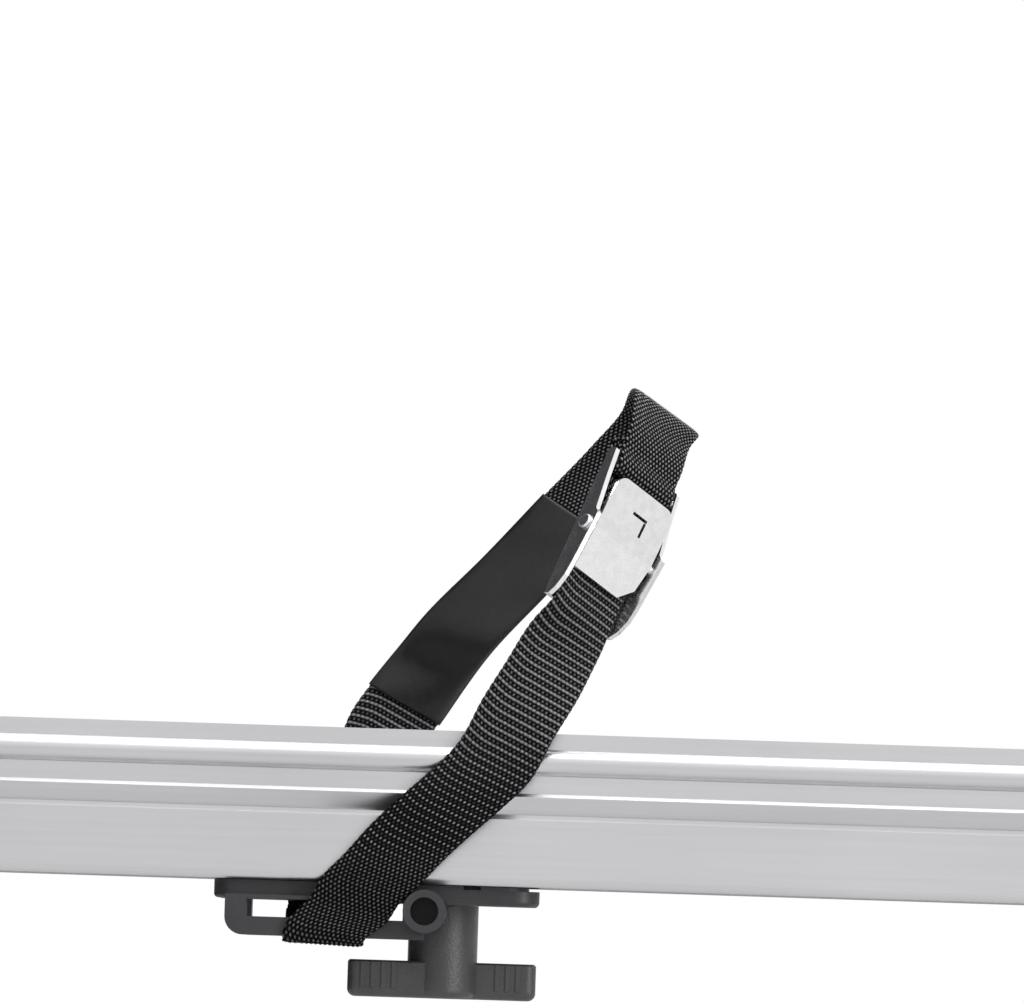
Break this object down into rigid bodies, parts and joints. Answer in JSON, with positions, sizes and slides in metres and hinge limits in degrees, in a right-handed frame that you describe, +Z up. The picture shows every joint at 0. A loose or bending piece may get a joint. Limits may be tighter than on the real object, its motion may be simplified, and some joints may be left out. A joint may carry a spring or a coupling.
{
  "type": "tow bar bike carrier",
  "caption": "Tilting platform carrier for a tow ball: wheel rails with sliding strap holders and cam buckles, folding mast with clamp arms, rear light board.",
  "frame": {"origin": "centre of the tow ball", "axes": "+X across the car to its right as seen from in front of the carrier, +Y away from the car, +Z up"},
  "size_m": [1.386, 0.623, 0.914],
  "materials": {
    "cast_black": "black enamelled casting",
    "black_steel": "satin black powder coat",
    "dark_tube": "satin dark grey powder coat",
    "zinc_steel": "zinc-plated steel",
    "rail_aluminium": "matt anodised extrusion",
    "arm_aluminium": "matt anodised tube",
    "black_plastic": "black polyamide, fine grain",
    "knob_plastic": "black polyamide, coarse grain",
    "lamp_plastic": "black moulded housing",
    "lens_plastic": "red moulded lens",
    "grip_rubber": "matt black rubber",
    "buckle_steel": "bright zinc-plated pressed steel",
    "webbing": "black woven polypropylene webbing",
    "sleeve_plastic": "soft black plastic sleeve"
  },
  "bodies": {
    "coupling": {"coupling_body": "cast_black", "coupling_pins": "zinc_steel", "base_chassis": "black_steel", "tilt_axle": "zinc_steel"},
    "jaw": {"coupling_jaw": "cast_black"},
    "lever": {"coupling_lever": "black_steel", "lever_grip": "grip_rubber"},
    "platform": {"platform_frame": "black_steel", "mast_bolts": "zinc_steel", "rail_near": "rail_aluminium", "rail_far": "rail_aluminium", "rail_end_caps": "black_plastic", "rail_bolts": "zinc_steel", "light_board": "black_plastic", "lamp_housings": "lamp_plastic", "lamp_lenses": "lens_plastic"},
    "pedal": {"tilt_pedal": "black_steel"},
    "mast": {"mast_tube": "dark_tube"},
    "mast_knob": {"mast_lock_knob": "knob_plastic"},
    "short_arm": {"short_arm_tube": "arm_aluminium", "short_arm_claw": "black_plastic"},
    "short_jaw": {"short_arm_jaw": "black_plastic"},
    "short_knob": {"short_arm_knob": "knob_plastic"},
    "long_arm": {"long_arm_tube": "arm_aluminium", "long_arm_claw": "black_plastic"},
    "long_jaw": {"long_arm_jaw": "black_plastic"},
    "long_knob": {"long_arm_knob": "knob_plastic"},
    "near_right_holder": {"near_right_strap_holder": "black_plastic", "near_right_t_bolt": "zinc_steel", "near_right_strap": "webbing", "near_right_sleeve": "sleeve_plastic", "near_right_buckle_frame": "buckle_steel", "near_right_cam_pin": "buckle_steel"},
    "near_right_wing_knob": {"near_right_knob": "knob_plastic"},
    "near_right_cam": {"near_right_cam_lever": "buckle_steel"},
    "near_left_holder": {"near_left_strap_holder": "black_plastic", "near_left_t_bolt": "zinc_steel", "near_left_strap": "webbing", "near_left_sleeve": "sleeve_plastic", "near_left_buckle_frame": "buckle_steel", "near_left_cam_pin": "buckle_steel"},
    "near_left_wing_knob": {"near_left_knob": "knob_plastic"},
    "near_left_cam": {"near_left_cam_lever": "buckle_steel"},
    "far_right_holder": {"far_right_strap_holder": "black_plastic", "far_right_t_bolt": "zinc_steel", "far_right_strap": "webbing", "far_right_sleeve": "sleeve_plastic", "far_right_buckle_frame": "buckle_steel", "far_right_cam_pin": "buckle_steel"},
    "far_right_wing_knob": {"far_right_knob": "knob_plastic"},
    "far_right_cam": {"far_right_cam_lever": "buckle_steel"},
    "far_left_holder": {"far_left_strap_holder": "black_plastic", "far_left_t_bolt": "zinc_steel", "far_left_strap": "webbing", "far_left_sleeve": "sleeve_plastic", "far_left_buckle_frame": "buckle_steel", "far_left_cam_pin": "buckle_steel"},
    "far_left_wing_knob": {"far_left_knob": "knob_plastic"},
    "far_left_cam": {"far_left_cam_lever": "buckle_steel"}
  },
  "joints": [
    {"name": "lever_lift", "type": "hinge", "parent": "coupling", "child": "lever", "pos_m": [0, 0.052, 0.046], "axis": [-1, 0, 0], "range_deg": [0, 95]},
    {"name": "jaw_swing", "type": "hinge", "parent": "coupling", "child": "jaw", "pos_m": [0, 0.045, 0.004], "axis": [1, 0, 0], "range_deg": [0, 14.25]},
    {"name": "platform_tilt", "type": "hinge", "parent": "coupling", "child": "platform", "pos_m": [0, 0.13, 0.012], "axis": [-1, 0, 0], "range_deg": [0, 45]},
    {"name": "pedal_press", "type": "hinge", "parent": "platform", "child": "pedal", "pos_m": [0, 0.178, 0.032], "axis": [-1, 0, 0], "range_deg": [0, 8], "stiffness_Nm_per_rad": 20, "springref_deg": -11.46},
    {"name": "mast_fold", "type": "hinge", "parent": "platform", "child": "mast", "pos_m": [0, 0.045, 0.15], "axis": [-1, 0, 0], "range_deg": [0, 90]},
    {"name": "mast_knob_turn", "type": "hinge", "parent": "platform", "child": "mast_knob", "pos_m": [0.1183, 0.045, 0.15], "axis": [1, 0, 0], "continuous": true},
    {"name": "short_arm_swing", "type": "hinge", "parent": "mast", "child": "short_arm", "pos_m": [-0.032, 0.045, 0.76], "axis": [1, 0, 0], "range_deg": [-20, 90]},
    {"name": "short_jaw_open", "type": "hinge", "parent": "short_arm", "child": "short_jaw", "pos_m": [-0.032, 0.122, 0.797], "axis": [1, 0, 0], "range_deg": [0, 90]},
    {"name": "short_knob_turn", "type": "hinge", "parent": "short_jaw", "child": "short_knob", "pos_m": [-0.032, 0.188, 0.805], "axis": [0, 0, 1], "continuous": true},
    {"name": "long_arm_swing", "type": "hinge", "parent": "mast", "child": "long_arm", "pos_m": [0.032, 0.045, 0.76], "axis": [1, 0, 0], "range_deg": [-20, 90]},
    {"name": "long_jaw_open", "type": "hinge", "parent": "long_arm", "child": "long_jaw", "pos_m": [0.032, 0.322, 0.797], "axis": [1, 0, 0], "range_deg": [0, 90]},
    {"name": "long_knob_turn", "type": "hinge", "parent": "long_jaw", "child": "long_knob", "pos_m": [0.032, 0.388, 0.805], "axis": [0, 0, 1], "continuous": true},
    {"name": "near_right_slide", "type": "slide", "parent": "platform", "child": "near_right_holder", "axis": [1, 0, 0], "range_m": [-0.12, 0.35]},
    {"name": "near_right_knob_turn", "type": "hinge", "parent": "near_right_holder", "child": "near_right_wing_knob", "pos_m": [0.3, 0.15, 0.07], "axis": [0, 0, 1], "continuous": true},
    {"name": "near_right_cam_press", "type": "hinge", "parent": "near_right_holder", "child": "near_right_cam", "pos_m": [0.34042, 0.11911, 0.17496], "axis": [-0.6772, -0.5726, 0.4621], "range_deg": [0, 12], "stiffness_Nm_per_rad": 0.1, "springref_deg": -28.65},
    {"name": "near_left_slide", "type": "slide", "parent": "platform", "child": "near_left_holder", "axis": [1, 0, 0], "range_m": [-0.35, 0.12]},
    {"name": "near_left_knob_turn", "type": "hinge", "parent": "near_left_holder", "child": "near_left_wing_knob", "pos_m": [-0.3, 0.15, 0.07], "axis": [0, 0, 1], "continuous": true},
    {"name": "near_left_cam_press", "type": "hinge", "parent": "near_left_holder", "child": "near_left_cam", "pos_m": [-0.34042, 0.18089, 0.17496], "axis": [0.6772, 0.5726, 0.4621], "range_deg": [0, 12], "stiffness_Nm_per_rad": 0.1, "springref_deg": -28.65},
    {"name": "far_right_slide", "type": "slide", "parent": "platform", "child": "far_right_holder", "axis": [1, 0, 0], "range_m": [-0.45, 0.005]},
    {"name": "far_right_knob_turn", "type": "hinge", "parent": "far_right_holder", "child": "far_right_wing_knob", "pos_m": [0.617, 0.35, 0.073], "axis": [0, 0, 1], "continuous": true},
    {"name": "far_right_cam_press", "type": "hinge", "parent": "far_right_holder", "child": "far_right_cam", "pos_m": [0.57658, 0.38089, 0.17796], "axis": [0.6772, 0.5726, 0.4621], "range_deg": [0, 12], "stiffness_Nm_per_rad": 0.1, "springref_deg": -28.65},
    {"name": "far_left_slide", "type": "slide", "parent": "platform", "child": "far_left_holder", "axis": [1, 0, 0], "range_m": [-0.22, 0.24]},
    {"name": "far_left_knob_turn", "type": "hinge", "parent": "far_left_holder", "child": "far_left_wing_knob", "pos_m": [-0.423, 0.35, 0.073], "axis": [0, 0, 1], "continuous": true},
    {"name": "far_left_cam_press", "type": "hinge", "parent": "far_left_holder", "child": "far_left_cam", "pos_m": [-0.46342, 0.38089, 0.17796], "axis": [0.6772, 0.5726, 0.4621], "range_deg": [0, 12], "stiffness_Nm_per_rad": 0.1, "springref_deg": -28.65}
  ],
  "couplings": [
    {"joint": "jaw_swing", "follows": "lever_lift", "ratio": 0.15}
  ]
}
